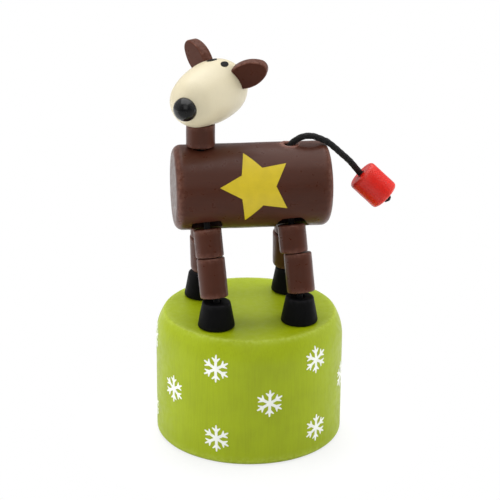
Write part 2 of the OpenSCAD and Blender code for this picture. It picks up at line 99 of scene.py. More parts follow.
# How far below the hoof's top the cord that rises with the button ends, and the one that bends starts.
RUN_DROP, STRING_DROP = 6.9, 7.2
# The tail cord's plait: strands each way, their turn per millimetre, how far they sink and rise.
PLAIT_STRANDS, PLAIT_LAY, PLAIT_SINK, PLAIT_RIDGE = 5, 3.3, 0.09, 0.1
# Printed star: tip and notch radius, its stretch along and up, and its place along and round the barrel.
STAR_R, STAR_NOTCH_R, STAR_LONG, STAR_TALL, STAR_X, STAR_RISE = 10.0, 5.05, 0.96, 1.025, 0.3, 15
# Painted eyes: half axes and tilt, and the place along the head and round it.
EYE_LONG, EYE_SHORT, EYE_TILT, EYE_X, EYE_ROUND, EYE_R = 1.7, 0.95, 0.2, -4.48, atan2(7.58, 1.93), 7.8
# Printed snowflakes stand in columns round the drum, one in the middle or one above and one below.
FLAKE_R, FLAKE_START, FLAKE_STEP, FLAKE_ROWS = 3.8, -89, 32, ((17.5,), (27.4, 7.6))
# The print sits a little off its even places: degrees round the drum and millimetres up.
FLAKE_NUDGES = {
    (-2, 17.5): (0, 0.2), (-1, 27.4): (0, -0.4), (-1, 7.6): (0.5, -0.3), (0, 17.5): (0.6, 0.3),
    (1, 7.6): (1.2, 0.2), (2, 17.5): (2.0, 0.2),
}
# Radius and height of the lip round the tail hole: a low inner bead, a groove and a broad outer ridge.
LIP_PROFILE = [
    (1.52, -0.45), (1.54, -0.1), (1.6, 0.04), (1.7, 0.08), (1.8, 0.05), (1.88, 0.02), (1.96, 0.06),
    (2.08, 0.17), (2.22, 0.22), (2.36, 0.2), (2.5, 0.12), (2.62, 0.02), (2.76, -0.05),
    (2.7, -0.3), (2.2, -0.45),
]
# Lengths taken as none, in millimetres, and points taken as one, in metres.
TINY, MERGE = 1e-6, 1e-8


# Places and shapes

# The place of a piece that is made where it stays.
IN_PLACE = Matrix.Identity(4)


def turn(axis, angle):
    """Turn about an axis, in degrees."""
    return Matrix.Rotation(radians(angle), 4, axis)


def at(point, rotation=IN_PLACE):
    """Matrix that puts a piece made about its own origin at a point in millimetres."""
    return Matrix.Translation(Vector(point) * MM) @ rotation


def toward(direction):
    """Turn that brings Z to a direction."""
    return Vector(direction).to_track_quat("Z", "Y").to_matrix().to_4x4()


def arc(x, y, r, start, end, steps):
    """Points on an arc about (x, y), between two angles in degrees."""
    angles = [radians(start + (end - start) * i / steps) for i in range(steps + 1)]
    return [(x + r * cos(a), y + r * sin(a)) for a in angles]


def refine(points, step, closed=False):
    """The same line with no stretch longer than step."""
    fine = []
    ends = points[1:] + ([points[0]] if closed else [])
    for a, b in zip(points, ends):
        n = max(1, ceil(dist(a, b) / step))
        fine += [tuple(p + (q - p) * i / n for p, q in zip(a, b)) for i in range(n)]
    return fine if closed else fine + [points[-1]]


def lathe(profile, segments, ring):
    """Points and faces of a turned form. A ring's profile is a loop, any other runs from axis to axis."""
    points, rows, faces = [], [], []
    for r, z in profile:
        first = len(points)
        count = segments if r > TINY else 1
        for k in range(count):
            a = 2 * pi * k / segments
            points.append((r * cos(a), r * sin(a), z))
        rows.append(range(first, first + count))
    for low, high in zip(rows, rows[1:] + (rows[:1] if ring else [])):
        for k in range(segments):
            n = (k + 1) % segments
            if len(low) == 1 and len(high) == 1:
                continue
            if len(low) == 1:
                faces.append((low[0], high[n], high[k]))
            elif len(high) == 1:
                faces.append((low[k], low[n], high[0]))
            else:
                faces.append((low[k], low[n], high[n], high[k]))
    return points, faces


def smooth_line(points, step):
    """Dense points on a smooth curve through the given ones."""
    p = [Vector(q) for q in points]
    p = [2 * p[0] - p[1]] + p + [2 * p[-1] - p[-2]]
    dense = []
    for i in range(1, len(p) - 2):
        a, b, c, d = p[i - 1:i + 3]
        n = max(2, ceil((c - b).length / step))
        for k in range(n):
            t = k / n
            dense.append(0.5 * (2 * b + (c - a) * t + (2 * a - 5 * b + 4 * c - d) * t * t
                                + (3 * b - a - 3 * c + d) * t ** 3))
    return dense + [p[-2]]


def bands(rows, sides):
    """Faces between neighbouring rows of points, each row closed round."""
    faces = []
    for i in range(rows - 1):
        for k in range(sides):
            n = (k + 1) % sides
            faces.append((i * sides + k, i * sides + n, (i + 1) * sides + n, (i + 1) * sides + k))
    return faces


def tube(line, sides, radius):
    """Closed tube along a line. radius is a function of the way along and the angle round."""
    last = len(line) - 1
    tangents = [(line[min(i + 1, last)] - line[max(i - 1, 0)]).normalized() for i in range(last + 1)]
    side = tangents[0].orthogonal().normalized()
    points, way = [], 0.0
    for i, (p, t) in enumerate(zip(line, tangents)):
        if i:
            side = tangents[i - 1].rotation_difference(t) @ side
            way += (p - line[i - 1]).length
        side = (side - side.dot(t) * t).normalized()
        other = t.cross(side)
        for k in range(sides):
            a = 2 * pi * k / sides
            points.append(p + radius(way, a) * (cos(a) * side + sin(a) * other))
    faces = bands(len(line), sides)
    for row, centre in ((0, line[0]), (last, line[last])):
        middle = len(points)
        points.append(centre)
        for k in range(sides):
            faces.append((middle, row * sides + k, row * sides + (k + 1) % sides))
    return [tuple(p) for p in points], faces


def inlay(outline, lay, high, low, grid=None):
    """Thin closed plate with the given flat outline, laid on a surface by lay(u, v, height)."""
    edge = refine(outline, 0.35, closed=True)
    flat = [Vector(p) for p in edge]
    if grid:
        us, vs = [p[0] for p in edge], [p[1] for p in edge]
        inside = []
        for i in range(ceil((max(us) - min(us)) / grid)):
            for j in range(ceil((max(vs) - min(vs)) / grid)):
                q = Vector((min(us) + grid * (i + 0.5), min(vs) + grid * (j + 0.5)))
                if min((q - f).length for f in flat) > 0.6 * grid:
                    inside.append(q)
        flat += inside
    n = len(edge)
    ring = [(i, (i + 1) % n) for i in range(n)]
    made, _, faces, *_ = geometry.delaunay_2d_cdt(flat, ring, [], 1, 1e-5)
    points = [lay(p.x, p.y, high) for p in made] + [lay(p.x, p.y, low) for p in made]
    shift = len(made)
    plates = [tuple(f) for f in faces] + [tuple(i + shift for i in reversed(f)) for f in faces]
    seen = {}
    for f in faces:
        for a, b in zip(f, list(f[1:]) + [f[0]]):
            key = (min(a, b), max(a, b))
            seen[key] = None if key in seen else (a, b)
    plates += [(b, a, a + shift, b + shift) for a, b in filter(None, seen.values())]
    return points, plates


def uneven(shape, seed, amount=WOBBLE, size=WOBBLE_SIZE):
    """Hand-painted wood is never dead true: moves points a little along their own radius."""
    points, faces = shape
    shift = Vector((seed * 3.7, seed * 1.3, seed * 5.1))
    bent = []
    for p in points:
        v = Vector(p)
        flat = Vector((v.x, v.y, 0))
        if flat.length > TINY:
            v += flat.normalized() * amount * noise.noise(v / size + shift)
        bent.append(tuple(v))
    return bent, faces


def rims(*edges):
    """How much the paint is rubbed at a point, which on the drum's deck rim is partly a painted highlight:
    most at the given turned edges (radius, height, width).
    """
    def wear_and_light(p):
        r = hypot(p[0], p[1])
        return max(exp(-((r - er) ** 2 + (p[2] - ez) ** 2) / w ** 2) for er, ez, w in edges)
    return wear_and_light


def bead_rims(r, length, inset=0.1, width=0.6):
    """Wear at both ends of a turned bead."""
    return rims((r, inset, width), (r, length - inset, width))


def new_object(name, shape):
    """Mesh from points and faces in millimetres, with doubled points joined and all faces outward."""
    points, faces = shape
    mesh = bpy.data.meshes.new(name)
    mesh.from_pydata([tuple(c * MM for c in p) for p in points], [], faces)
    work = bmesh.new()
    work.from_mesh(mesh)
    bmesh.ops.remove_doubles(work, verts=work.verts, dist=MERGE)
    bmesh.ops.recalc_face_normals(work, faces=work.faces)
    work.to_mesh(mesh)
    work.free()
    obj = bpy.data.objects.new(name, mesh)
    bpy.context.scene.collection.objects.link(obj)
    return obj


def piece(name, shape, place, body, material, stands_for=None, wear_and_light=None, sharp=38, cutters=()):
    """One finished piece of the puppet, from points and faces in millimetres about its own origin."""
    obj = new_object(name, shape)
    for cutter in cutters:
        cut(obj, cutter)
    mesh = obj.data
    values = [wear_and_light([c / MM for c in v.co]) if wear_and_light else 0.0 for v in mesh.vertices]
    mesh.attributes.new("wear", "FLOAT", "POINT").data.foreach_set("value", values)
    for polygon in mesh.polygons:
        polygon.use_smooth = True
    mesh.set_sharp_from_angle(angle=radians(sharp))
    mesh.materials.clear()
    mesh.materials.append(material)
    obj.matrix_world = place
    if stands_for:
        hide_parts(stands_for)
    if body:
        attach(obj, body)
    return obj


def cut(obj, shape):
    """Takes a closed form, given in the piece's own millimetres, out of the piece."""
    tool = new_object("cutter", shape)
    step = obj.modifiers.new("cut", "BOOLEAN")
    step.operation, step.solver, step.object = "DIFFERENCE", "EXACT", tool
    bpy.context.view_layer.update()
    made = bpy.data.meshes.new_from_object(obj.evaluated_get(bpy.context.evaluated_depsgraph_get()))
    obj.modifiers.clear()
    made.name = obj.data.name
    obj.data = made
    bpy.data.objects.remove(tool)


def moved(shape, matrix):
    """A form's points through a matrix whose shift is in millimetres."""
    points, faces = shape
    return [tuple(matrix @ Vector(p)) for p in points], faces


def rod(a, b, r, sides=48):
    """Plain round bar from a to b, for cutting holes."""
    a, b = Vector(a), Vector(b)
    shape = lathe([(0, 0), (r, 0), (r, (b - a).length), (0, (b - a).length)], sides, ring=False)
    return moved(shape, Matrix.Translation(a) @ toward(b - a))


# Materials

LIME, BROWN, CREAM = (147, 163, 4), (71, 37, 25), (203, 193, 164)
BLACK, RED, YELLOW, WHITE = (13, 13, 14), (202, 26, 14), (197, 174, 14), (230, 232, 226)
# The tail lip's brown is lighter than the barrel's, partly a painted highlight on the raised lip.
EYE_BLACK, LIP_HIGHLIT_BROWN, CREAM_NIB = (11, 10, 10), (112, 70, 58), (190, 180, 150)
# Lighter colours of rubbed edges; the lime one is also a painted highlight along the deck's rim.
BROWN_EDGE, LIME_RUB_AND_HIGHLIGHT, BLACK_EDGE, RED_EDGE = (124, 86, 74), (184, 198, 92), (46, 45, 48), (226, 106, 92)
CORD_DARK, CORD_PALE = (8, 8, 9), (24, 23, 24)
WOOD_PALE, WOOD_LINE, WOOD_PORE = (214, 184, 136), (186, 148, 98), (132, 98, 60)
STEEL_DARK, STEEL_PALE = (176, 178, 180), (206, 208, 210)
# Painted shade: paint in a recess is this share as bright as elsewhere.
PAINTED_RECESS_SHADE = 0.22


def linear(rgb):
    """Shader colour from the 0 to 255 values of a screen colour."""
    return tuple((c / 255 / 12.92) if c <= 10 else ((c / 255 + 0.055) / 1.055) ** 2.4 for c in rgb) + (1.0,)


class Wiring:
    """Small helper that adds and joins the nodes of a material or a world."""

    def __init__(self, owner):
        owner.use_nodes = True
        self.tree = owner.node_tree
        self.tree.nodes.clear()

    def add(self, kind, inputs=None, **settings):
        """New node with its settings, and a value or another node's output for each named input."""
        node = self.tree.nodes.new(kind)
        for key, value in settings.items():
            setattr(node, key, value)
        for key, value in (inputs or {}).items():
            self.put(node.inputs[key], value)
        return node

    def put(self, socket, value):
        if isinstance(value, bpy.types.NodeSocket):
            self.tree.links.new(value, socket)
        else:
            socket.default_value = value

    def ramp(self, value, low, high, to_low=0.0, to_high=1.0):
        """Smooth step from to_low to to_high, while the value goes from low to high."""
        inputs = {"Value": value, "From Min": low, "From Max": high, "To Min": to_low, "To Max": to_high}
        return self.add("ShaderNodeMapRange", inputs, interpolation_type="SMOOTHSTEP").outputs[0]

    def math(self, operation, a, b):
        return self.add("ShaderNodeMath", {0: a, 1: b}, operation=operation).outputs[0]


class Finish(Wiring):
    """One procedural material."""

    def __init__(self, name):
        self.material = bpy.data.materials.new(name)
        super().__init__(self.material)
        self.shader = self.add("ShaderNodeBsdfPrincipled")
        self.add("ShaderNodeOutputMaterial", {"Surface": self.shader.outputs[0]})

    def set(self, name, value):
        self.put(self.shader.inputs[name], value)

    def place(self, seed, stretch=(1, 1, 1)):
        """Coordinates in millimetres on the piece itself, moved by the seed."""
        where = self.add("ShaderNodeTexCoord").outputs["Object"]
        shift = (seed * 17.3, seed * 11.9, seed * 7.7)
        inputs = {"Vector": where, "Scale": [s / MM for s in stretch], "Location": shift}
        return self.add("ShaderNodeMapping", inputs).outputs[0]

    def noise(self, where, scale, detail=3.0, rough=0.55, distortion=0.0):
        inputs = {"Vector": where, "Scale": scale, "Detail": detail, "Roughness": rough,
                  "Distortion": distortion}
        return self.add("ShaderNodeTexNoise", inputs).outputs[0]

    def spots(self, where, scale):
        return self.add("ShaderNodeTexVoronoi", {"Vector": where, "Scale": scale}).outputs["Distance"]

    def mix(self, factor, a, b):
        return self.add("ShaderNodeMix", {0: factor, 6: a, 7: b}, data_type="RGBA").outputs[2]

    def shade(self, colour, value):
        return self.add("ShaderNodeHueSaturation", {"Color": colour, "Value": value}).outputs[0]

    def bump(self, height, depth, strength, under=None):
        """Small relief, its depth in millimetres, on top of another one if given."""
        inputs = {"Strength": strength, "Distance": depth * MM, "Height": height}
        if under is not None:
            inputs["Normal"] = under
        return self.add("ShaderNodeBump", inputs).outputs[0]

    def wear_and_light(self):
        """Rubbed paint and painted light at a point: above zero on rubbed edges, which on some pieces also
        stand in for a highlight, below zero in recesses, where shade is painted.
        """
        return self.add("ShaderNodeAttribute", attribute_name="wear").outputs["Fac"]


def paint(name, rgb, seed, rough=0.42, tone=0.07, streak=0.06, cracks=0.0, edge=None, edge_amount=0.5,
          specks=0.0, speck_rgb=None, coat=0.0, shine=0.5, relief=1.0):
    """Brushed satin paint on turned wood: the grain shows through, edges rub thin and on some pieces carry a
    painted highlight, recesses darken with painted shade, a few nibs and pores.
    """
    f = Finish(name)
    here = f.place(seed)
    along = f.place(seed + 0.37, (1, 1, 0.06))
    cloud = f.noise(here, 0.11, 3)
    grain = f.noise(along, 2.3, 4, 0.6)
    fine = f.noise(here, 3.1, 2)
    streaks = f.ramp(grain, 0.35, 0.7, 1, 1 - streak)
    value = f.math("MULTIPLY", f.ramp(cloud, 0.3, 0.7, 1 - tone, 1 + tone), streaks)
    height = grain
    if cracks:
        split = f.ramp(f.noise(f.place(seed + 0.71, (1, 1, 0.09)), 1.7, 2), 0.715, 0.76)
        where = f.ramp(f.noise(here, 0.13, 1), 0.5, 0.58)
        split = f.math("MULTIPLY", split, where)
        value = f.math("MULTIPLY", value, f.ramp(split, 0, 1, 1, 1 - cracks))
        height = f.math("SUBTRACT", grain, split)
    if edge:
        # Painted shade: the paint in recesses is darkened, standing in for the shadow in the tight gaps
        # there.
        value = f.math("MULTIPLY", value, f.ramp(f.wear_and_light(), -1, 0, PAINTED_RECESS_SHADE, 1))
    colour = f.shade(linear(rgb), value)
    if edge:
        # Lighter colour on rubbed edges; on the drum's deck rim and the tail lip it is partly a painted
        # highlight.
        rub_and_highlight = f.math("MULTIPLY", f.wear_and_light(), f.ramp(f.noise(here, 0.9, 4, 0.65), 0.36, 0.66, 0.15, 1))
        colour = f.mix(f.math("MULTIPLY", rub_and_highlight, edge_amount), colour, linear(edge))
    if specks:
        dots = f.ramp(f.spots(f.place(seed + 1.9), 0.42), 0.035, 0.075, specks, 0)
        colour = f.mix(dots, colour, linear(speck_rgb or [min(255, c * 1.5 + 25) for c in rgb]))
    f.set("Base Color", colour)
    f.set("Roughness", f.ramp(f.noise(here, 0.6, 3), 0.3, 0.7, rough - 0.06, rough + 0.08))
    peel = f.bump(fine, 0.012 * relief, 0.5)
    f.set("Normal", f.bump(height, 0.022 * relief, 0.6, peel))
    f.set("Specular IOR Level", shine)
    if coat:
        f.set("Coat Weight", coat)
        f.set("Coat Roughness", 0.12)
    return f.material


def brown(name, seed, shine=0.3, edge_amount=0.5):
    return paint(name, BROWN, seed, rough=0.33, tone=0.05, streak=0.05, edge=BROWN_EDGE,
                 edge_amount=edge_amount, shine=shine, relief=0.35)


def print_paint(name, rgb, under, seed, loss, pits=0.0):
    """Printed colour on top of the paint, a little thin in places."""
    f = Finish(name)
    here = f.place(seed)
    value = f.ramp(f.noise(here, 0.35, 3), 0.3, 0.7, 0.95, 1.04)
    colour = f.shade(linear(rgb), value)
    thin = f.ramp(f.noise(here, 2.6, 3, 0.7), 0.685, 0.74, 0, loss)
    colour = f.mix(thin, colour, linear(under))
    if pits:
        dots = f.ramp(f.spots(f.place(seed + 0.6), 0.36), 0.04, 0.075, pits, 0)
        dots = f.math("MULTIPLY", dots, f.ramp(f.noise(here, 0.19, 1), 0.5, 0.56))
        colour = f.mix(dots, colour, linear(under))
    f.set("Base Color", colour)
    f.set("Roughness", f.ramp(f.noise(here, 1.1, 2), 0.3, 0.7, 0.38, 0.52))
    f.set("Normal", f.bump(f.noise(here, 2.4, 3), 0.012, 0.5))
    return f.material


def cord_finish(name, seed):
    """Black round cord: soft, with a faint sheen and dusty high spots."""
    f = Finish(name)
    fibre = f.noise(f.place(seed + 0.5), 5.5, 3, 0.6)
    f.set("Base Color", f.mix(f.ramp(fibre, 0.35, 0.75), linear(CORD_DARK), linear(CORD_PALE)))
    f.set("Roughness", f.ramp(f.noise(f.place(seed), 1.5, 2), 0.3, 0.7, 0.66, 0.84))
    f.set("Normal", f.bump(fibre, 0.03, 0.7))
    f.set("Sheen Weight", 0.08)
    f.set("Sheen Roughness", 0.45)
    return f.material


def wood_finish(name, seed):
    """Bare pale wood with growth lines and open pores."""
    f = Finish(name)
    lines = f.noise(f.place(seed, (1, 0.09, 1)), 0.55, 5, 0.6, 0.8)
    pores = f.ramp(f.noise(f.place(seed + 0.3, (1, 0.05, 1)), 4.5, 2), 0.62, 0.74)
    colour = f.mix(f.ramp(lines, 0.35, 0.68), linear(WOOD_PALE), linear(WOOD_LINE))
    f.set("Base Color", f.mix(f.math("MULTIPLY", pores, 0.5), colour, linear(WOOD_PORE)))
    f.set("Roughness", f.ramp(lines, 0.3, 0.7, 0.55, 0.7))
    f.set("Normal", f.bump(pores, 0.04, 0.5))
    return f.material


def steel_finish(name, seed):
    """Bright drawn wire."""
    f = Finish(name)
    draw = f.noise(f.place(seed), 6.0, 3)
    f.set("Base Color", f.mix(f.ramp(draw, 0.3, 0.7), linear(STEEL_DARK), linear(STEEL_PALE)))
    f.set("Roughness", f.ramp(draw, 0.3, 0.7, 0.26, 0.4))
    f.set("Normal", f.bump(draw, 0.006, 0.6))
    f.set("Metallic", 1.0)
    return f.material


# Camera and light

# The camera as fitted to the photograph, in degrees, metres and the millimetres of its film.
CAMERA_AZIMUTH, CAMERA_ELEVATION, CAMERA_ROLL = -11, 20, 0.5
CAMERA_AIM, CAMERA_AWAY = Vector((0, 0, 0.051)), 0.45
SENSOR_W, LENS, CLIP_NEAR, CLIP_FAR = 36.0, 122.4, 0.01, 20.0
# Each lamp's name, place, size and power, and whether shiny surfaces mirror it.
LAMPS = [
    ("top", (0.05, 0.1, 0.8), 1.0, 3.8, True),
    ("back", (0.0, 0.45, 0.7), 0.5, 3.4, False),
    ("left", (-0.65, 0.0, 0.3), 0.5, 2.6, False),
    ("right", (0.65, 0.0, 0.3), 0.5, 2.4, False),
    ("front", (-0.1, -0.6, 0.5), 0.5, 0.5, True),
]
LAMP_AIM = Vector((0, 0, 0.05))
# Light of the tent on dull surfaces, and what shiny ones mirror in front and behind.
TENT_LEVEL, TENT_FRONT, TENT_BACK = 0.55, 0.06, 0.4
# The mirrored tent turns from back to front between these cosines of the angle to the camera's side.
TENT_TURN = (0.05, 0.8)
# The same for the floor's colour, which turns from front to back over FLOOR_TURN metres.
FLOOR_LEVEL, FLOOR_FRONT, FLOOR_BACK, FLOOR_TURN = 0.86, 0.2, 0.6, 0.06
FLOOR_HALF, FLOOR_DROP = 4, 0.00005
# How far out the floor starts and ends to fade to white, and how white it is at the start.
FADE_START, FADE_END, FADE_LEAST = 0.025, 0.05, 0.75


def set_stage():
    scene = bpy.context.scene
    scene.view_settings.view_transform = "Standard"
    azimuth, elevation = radians(CAMERA_AZIMUTH), radians(CAMERA_ELEVATION)
    back = Vector((sin(azimuth) * cos(elevation), -cos(azimuth) * cos(elevation),
                   sin(elevation)))
    data = bpy.data.cameras.new("camera")
    data.sensor_width, data.lens = SENSOR_W, LENS
    data.clip_start, data.clip_end = CLIP_NEAR, CLIP_FAR
    camera = bpy.data.objects.new("camera", data)
    scene.collection.objects.link(camera)
    camera.location = CAMERA_AIM + back * CAMERA_AWAY
    camera.rotation_mode = "QUATERNION"
    roll = Quaternion((0, 0, 1), radians(CAMERA_ROLL))
    camera.rotation_quaternion = (-back).to_track_quat("-Z", "Y") @ roll
    scene.camera = camera

    for name, place, size, power, mirrored in LAMPS:
        lamp = bpy.data.lights.new(name, "AREA")
        lamp.shape, lamp.size, lamp.energy = "SQUARE", size, power
        obj = bpy.data.objects.new(name, lamp)
        scene.collection.objects.link(obj)
        obj.location = place
        obj.rotation_euler = (LAMP_AIM - Vector(place)).to_track_quat("-Z", "Y").to_euler()
        obj.visible_glossy = mirrored
    scene.world = studio_world(back)
    studio_floor()


def studio_world(back):
    """White tent: even light from all round, white where seen, and a dark front that reflections show."""
    world = bpy.data.worlds.new("studio")
    w = Wiring(world)
    path = w.add("ShaderNodeLightPath").outputs
    where = w.add("ShaderNodeTexCoord").outputs["Generated"]
    ahead = Vector((back.x, back.y, 0)).normalized()
    front = w.add("ShaderNodeVectorMath", {0: where, 1: ahead}, operation="DOT_PRODUCT").outputs["Value"]
    tent = w.ramp(front, *TENT_TURN, TENT_BACK, TENT_FRONT)
    seen = w.math("MAXIMUM", path["Is Camera Ray"], path["Is Transmission Ray"])
    mirrored = w.math("MULTIPLY", path["Is Glossy Ray"], w.math("SUBTRACT", tent, TENT_LEVEL))
    level = w.math("MAXIMUM", w.math("ADD", mirrored, TENT_LEVEL), seen)
    shade = w.add("ShaderNodeBackground", {"Strength": level, "Color": (1, 1, 1, 1)})
    w.add("ShaderNodeOutputWorld", {"Surface": shade.outputs[0]})
    return world


def studio_floor():
    """Pale floor that fades to the backdrop's white a little way from the drum."""
    mesh = bpy.data.meshes.new("floor")
    corners = [(x * FLOOR_HALF, y * FLOOR_HALF, 0) for x, y in ((-1, -1), (1, -1), (1, 1), (-1, 1))]
    mesh.from_pydata(corners, [], [(0, 1, 2, 3)])
    floor = bpy.data.objects.new("floor", mesh)
    bpy.context.scene.collection.objects.link(floor)
    floor.location.z = -FLOOR_DROP
    material = bpy.data.materials.new("floor")
    w = Wiring(material)
    path = w.add("ShaderNodeLightPath").outputs
    where = w.add("ShaderNodeTexCoord").outputs["Object"]
    far = w.add("ShaderNodeVectorMath", {0: where}, operation="LENGTH").outputs["Value"]
    fade = w.ramp(far, FADE_START, FADE_END, FADE_LEAST, 1.0)
    y = w.add("ShaderNodeSeparateXYZ", {0: where}).outputs["Y"]
    mirrored = w.ramp(y, -FLOOR_TURN, 0.0, FLOOR_FRONT - FLOOR_LEVEL, FLOOR_BACK - FLOOR_LEVEL)
    mirrored = w.math("MULTIPLY", mirrored, path["Is Glossy Ray"])
    matt = w.add("ShaderNodeBsdfDiffuse", {"Color": w.math("ADD", mirrored, FLOOR_LEVEL)})
    glow = w.add("ShaderNodeEmission", {"Color": (1, 1, 1, 1)})
    white = w.math("MULTIPLY", path["Is Camera Ray"], fade)
    both = w.add("ShaderNodeMixShader", {0: white, 1: matt.outputs[0], 2: glow.outputs[0]})
    w.add("ShaderNodeOutputMaterial", {"Surface": both.outputs[0]})
    mesh.materials.append(material)
    return floor


# Tail

def plait(s, a):
    """Radius of the plaited cord, s along it and at angle a: strands that cross over and under."""
    one, two = PLAIT_STRANDS * a + PLAIT_LAY * s, PLAIT_STRANDS * a - PLAIT_LAY * s
    over = 0.5 + 0.5 * tanh(3 * sin(one / 2 + 0.8) * sin(two / 2 + 0.8))
    strand = over * abs(cos(one / 2)) + (1 - over) * abs(cos(two / 2))
    return TAIL_CORD_R - PLAIT_SINK + PLAIT_RIDGE * strand


def make_tail():
    route = [MOUTH + Vector(p) for p in TAIL_ROUTE]
    drop, yaw = radians(BEAD_DROP), radians(BEAD_YAW)
    way = Vector((cos(drop) * cos(yaw), cos(drop) * sin(yaw), -sin(drop)))
    start, end = route[-1], route[-1] + BEAD_L * way
    line = smooth_line(route + [(start + end) / 2, end], step=0.12)
    cord = piece("tail_cord_plait", tube(line, 40, plait), IN_PLACE, "barrel",
                 cord_finish("tail_cord", 3.0), "tail_cord", sharp=180)
    red = paint("tail_red", RED, 4.0, rough=0.34, tone=0.04, streak=0.05, edge=RED_EDGE, edge_amount=0.3,
                specks=0.06, coat=0.08, shine=0.4, relief=0.12)
    shape = turned_bead(BEAD_R, BEAD_L, TAIL_BEAD_ROUND, TAIL_BORE_R, seed=4, segments=128)
    bead = piece("tail_bead_turned", shape, at(start, toward(way)), "barrel", red, "tail_bead",
                 wear_and_light=bead_rims(BEAD_R, BEAD_L, inset=0.2, width=0.9))
    half = 0.62
    shape = tied_knot(reach=1.25, half=half, strand=0.46, flat=0.5)
    knot = piece("tail_knot_tied", shape, at(end + half * way, toward(way)), "barrel",
                 cord_finish("tail_knot", 5.0), "tail_knot", sharp=180)
    sum((b - a).length for a, b in zip(line, line[1:])) * MM


def tied_knot(reach, half, strand, flat):
    """Overhand knot: a trefoil pulled tight, reach across and 2 * half high, of a strand of that radius."""
    steps = 96
    spread, rise = (reach - strand) / 3, half - strand * flat
    line = []
    for i in range(steps + 1):
        t = 2 * pi * i / steps
        r = (2 + cos(3 * t)) * spread
        line.append(Vector((r * cos(2 * t), r * sin(2 * t), sin(3 * t) * rise)))
    return tube(line, 14, lambda s, a: strand * (1 + 0.04 * cos(6 * a + 4 * s)))


def turned_bead(r, length, edge, bore, seed, segments=96):
    line = [(bore + BORE_BEVEL, 0)] + arc(r - edge, edge, edge, -90, 0, 8)
    line += arc(r - edge, length - edge, edge, 0, 90, 8)
    line += [(bore + BORE_BEVEL, length), (bore, length - BORE_BEVEL), (bore, BORE_BEVEL)]
    return uneven(lathe(refine(line, step=1.1, closed=True), segments, ring=True), seed)


# Drum, button and spring

def drum_radius(z):
    over = max(0.0, z - (BASE_H - SHOULDER_RISE))
    return BASE_R - SHOULDER_R + sqrt(SHOULDER_R * SHOULDER_R - over * over)


def flake(radius, tilt):
    """Outline of a six-armed snowflake: pointed arms, each with one pair of pointed barbs."""
    stem, tip, barb, point = 0.38, 0.2, 0.3, 0.12
    root, reach, lean = 0.5 * radius, 0.4 * radius, radians(47)
    out = Vector((cos(lean), sin(lean)))
    across = Vector((-out.y, out.x))
    foot = root + stem / tan(lean)
    half = [
        Vector((foot - barb / sin(lean), stem)),
        Vector((root, 0)) + out * reach + across * point,
        Vector((root, 0)) + out * reach - across * point,
        Vector((foot + barb / sin(lean), 0.8 * stem)),
        Vector((radius - tip, tip)),
        Vector((radius, 0.4 * tip)),
    ]
    notch = radians(-30)
    corner = Vector((2 * stem * cos(notch), 2 * stem * sin(notch)))
    outline = []
    for k in range(6):
        spin = Matrix.Rotation(radians(60 * k + tilt), 2)
        outline += [spin @ p for p in [corner] + [Vector((p.x, -p.y)) for p in half] + half[::-1]]
    return outline


def make_drum():
    rim = BASE_R - SHOULDER_IN
    top = degrees(asin(SHOULDER_RISE / SHOULDER_R))
    line = [(HOLLOW_R + FOOT_BEVEL, 0)] + arc(BASE_R - FOOT_ROUND, FOOT_ROUND, FOOT_ROUND, -90, 0, 10)
    # The shoulder stops a little short of the deck, where a soft corner takes over.
    line += arc(BASE_R - SHOULDER_R, BASE_H - SHOULDER_RISE, SHOULDER_R, 0, top - 1.6, 18)
    line += [(rim - 0.12, BASE_H - 0.045), (rim - 0.35, BASE_H), (0, BASE_H)]
    line = refine(line, step=1.6)
    line += refine([(0, HOLLOW_H), (HOLLOW_R, HOLLOW_H), (HOLLOW_R, FOOT_BEVEL)], step=3.0)
    lime = paint("drum_lime", LIME, 1.0, rough=0.4, tone=0.05, streak=0.07, cracks=0.3, edge=LIME_RUB_AND_HIGHLIGHT,
                 edge_amount=0.45, shine=0.3)
    shape = uneven(drum_shell(line), 1, amount=0.05, size=9)
    # Along the deck's rim the lighter edge colour is partly rubbed paint and partly a painted highlight on
    # the crease.
    piece("drum_turned", shape, IN_PLACE, "base", lime, "base",
          wear_and_light=rims((rim, BASE_H, 0.9), (BASE_R, 0.9, 0.8), (HOLLOW_R + FOOT_BEVEL, 0, 0.6)))


def on_drum(angle, middle):
    """Lays a print on the drum's side, about an angle in degrees and a height."""
    def lay(u, v, height):
        z = middle + v
        r = drum_radius(z) + height
        a = radians(angle) + u / BASE_R
        return (r * cos(a), r * sin(a), z)
    return lay


def make_snowflakes():
    white = print_paint("flake_white", WHITE, LIME, 2.0, loss=0.45)
    count = 0
    for k in range(-5, 6):
        for z in FLAKE_ROWS[k % 2]:
            tilt = 30 + 2.5 * sin(2.3 * count + k)
            on, up = FLAKE_NUDGES.get((k, z), (0, 0))
            outline = [tuple(p) for p in flake(FLAKE_R, tilt)]
            lay = on_drum(FLAKE_START + FLAKE_STEP * k + on, z + up)
            shape = inlay(outline, lay, high=0.05, low=-0.08)
            count += 1
            piece(f"snowflake_{count}", shape, IN_PLACE, "base", white, sharp=30)


def drum_shell(line):
    """The drum's skin: outside from the foot to the middle of the deck, then the inside back down."""
    split = 1 + next(i for i, (r, z) in enumerate(line) if r < TINY)
    segments = 256
    outer, outer_faces = lathe(line[:split], segments, ring=False)
    inner, inner_faces = lathe(line[split:], segments, ring=False)
    shift = len(outer)
    faces = outer_faces + [tuple(i + shift for i in f) for f in inner_faces]
    last = shift + len(inner) - segments
    for k in range(segments):
        n = (k + 1) % segments
        faces.append((k, n, last + n, last + k))
    return outer + inner, faces


